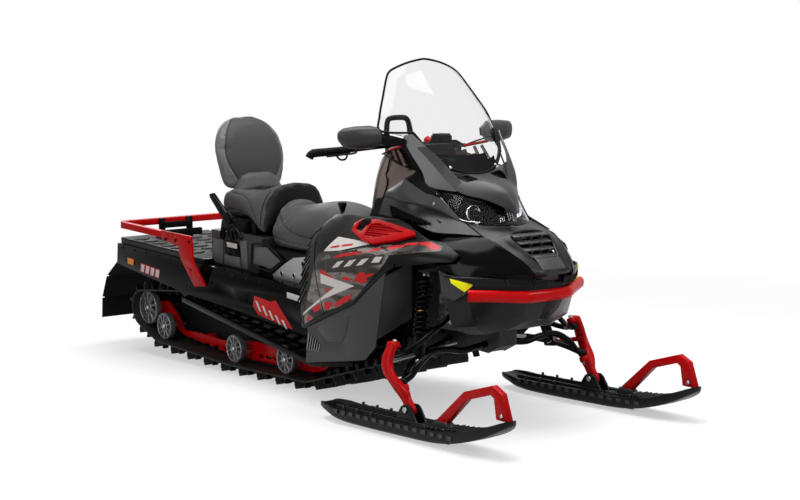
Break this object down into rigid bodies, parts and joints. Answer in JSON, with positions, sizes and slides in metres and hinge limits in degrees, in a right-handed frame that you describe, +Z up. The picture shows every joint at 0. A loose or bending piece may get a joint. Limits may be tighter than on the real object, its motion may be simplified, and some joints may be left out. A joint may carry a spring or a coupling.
{
  "type": "snowmobile",
  "caption": "Wide-track utility touring snowmobile with two-up seat, backrest, cargo rack, windshield and black plastic skis on red spindles",
  "frame": {"origin": "on the floor under the centre of the bounding box, ski tips to snow flap", "axes": "+X to the nose, +Y to the rider's left, +Z up"},
  "size_m": [3.36, 1.126, 1.434],
  "materials": {
    "rubber_black": "matt",
    "steel": "satin",
    "wheel_grey": "satin",
    "red_metal": "gloss",
    "black_metal": "satin",
    "black_plastic": "matt",
    "deck_grey": "matt",
    "engine_grey": "matt",
    "grey_plastic": "satin",
    "clear_screen": "clear",
    "tinted_cover": "tinted gloss",
    "seat_leather": "soft grain",
    "gloss_black": "gloss",
    "lamp_chrome": "bright",
    "knee_grey": "ribbed matt",
    "dark_plastic": "satin",
    "red_gloss": "gloss",
    "taupe_gloss": "gloss",
    "ski_black": "satin"
  },
  "bodies": {
    "chassis": {"track": "rubber_black", "drive_axle": "steel", "track_wheels": "wheel_grey", "wheel_axles": "steel", "slide_rails": "red_metal", "rail_sliders": "black_plastic", "suspension_arms": "black_metal", "track_shocks": "black_metal", "tunnel": "black_metal", "running_boards": "black_metal", "snow_flap": "rubber_black", "cargo_deck": "deck_grey", "rack_loop": "red_metal", "rack_brackets": "red_metal", "rear_stays": "black_metal", "tow_hitch": "black_metal", "engine": "engine_grey", "frame_tubes": "black_metal", "belly_pan": "black_plastic", "front_bumper": "red_metal", "hood": "grey_plastic", "cowl": "grey_plastic", "windshield": "clear_screen", "console": "black_plastic", "steering_cover": "tinted_cover", "driver_seat": "seat_leather", "passenger_seat": "seat_leather", "backrest": "seat_leather", "seat_base": "grey_plastic", "seat_frame": "black_plastic", "bulkhead": "engine_grey", "control_arms": "black_metal", "front_shocks": "black_metal", "nose_fenders": "gloss_black", "headlamps": "lamp_chrome", "cowl_sides": "gloss_black", "knee_pads": "knee_grey", "footwells": "dark_plastic", "intake_screens": "red_gloss", "grab_handles": "rubber_black", "mirrors": "grey_plastic", "side_panel_left": "taupe_gloss", "side_panel_right": "taupe_gloss"},
    "handlebar": {"handlebar": "black_metal", "grips": "rubber_black"},
    "spindle_left": {"spindle_left": "red_metal"},
    "tie_rod_left": {"tie_rod_left": "steel"},
    "ski_left": {"ski_left": "ski_black", "ski_loop_left": "red_gloss"},
    "spindle_right": {"spindle_right": "red_metal"},
    "tie_rod_right": {"tie_rod_right": "steel"},
    "ski_right": {"ski_right": "ski_black", "ski_loop_right": "red_gloss"}
  },
  "joints": [
    {"name": "handlebar_turn", "type": "hinge", "parent": "chassis", "child": "handlebar", "pos_m": [0.447, 0, 1.074], "axis": [-0.6157, 0, 0.788], "range_deg": [-30, 30]},
    {"name": "spindle_turn_left", "type": "hinge", "parent": "chassis", "child": "spindle_left", "pos_m": [1.055, 0.482, 0.178], "axis": [-0.3737, -0.0652, 0.9253], "range_deg": [-27, 27]},
    {"name": "tie_rod_swing_left", "type": "hinge", "parent": "spindle_left", "child": "tie_rod_left", "pos_m": [0.922, 0.448, 0.24], "axis": [-0.3737, -0.0652, 0.9253], "range_deg": [-27, 27]},
    {"name": "ski_pitch_left", "type": "hinge", "parent": "spindle_left", "child": "ski_left", "pos_m": [1.105, 0.49, 0.104], "axis": [0, 1, 0], "range_deg": [-15, 8]},
    {"name": "spindle_turn_right", "type": "hinge", "parent": "chassis", "child": "spindle_right", "pos_m": [1.055, -0.482, 0.178], "axis": [-0.3737, 0.0652, 0.9253], "range_deg": [-27, 27]},
    {"name": "tie_rod_swing_right", "type": "hinge", "parent": "spindle_right", "child": "tie_rod_right", "pos_m": [0.922, -0.448, 0.24], "axis": [-0.3737, 0.0652, 0.9253], "range_deg": [-27, 27]},
    {"name": "ski_pitch_right", "type": "hinge", "parent": "spindle_right", "child": "ski_right", "pos_m": [1.105, -0.49, 0.104], "axis": [0, 1, 0], "range_deg": [-15, 8]}
  ],
  "couplings": [
    {"joint": "spindle_turn_left", "follows": "handlebar_turn", "ratio": 0.9},
    {"joint": "tie_rod_swing_left", "follows": "handlebar_turn", "ratio": -0.9},
    {"joint": "spindle_turn_right", "follows": "handlebar_turn", "ratio": 0.9},
    {"joint": "tie_rod_swing_right", "follows": "handlebar_turn", "ratio": -0.9}
  ]
}
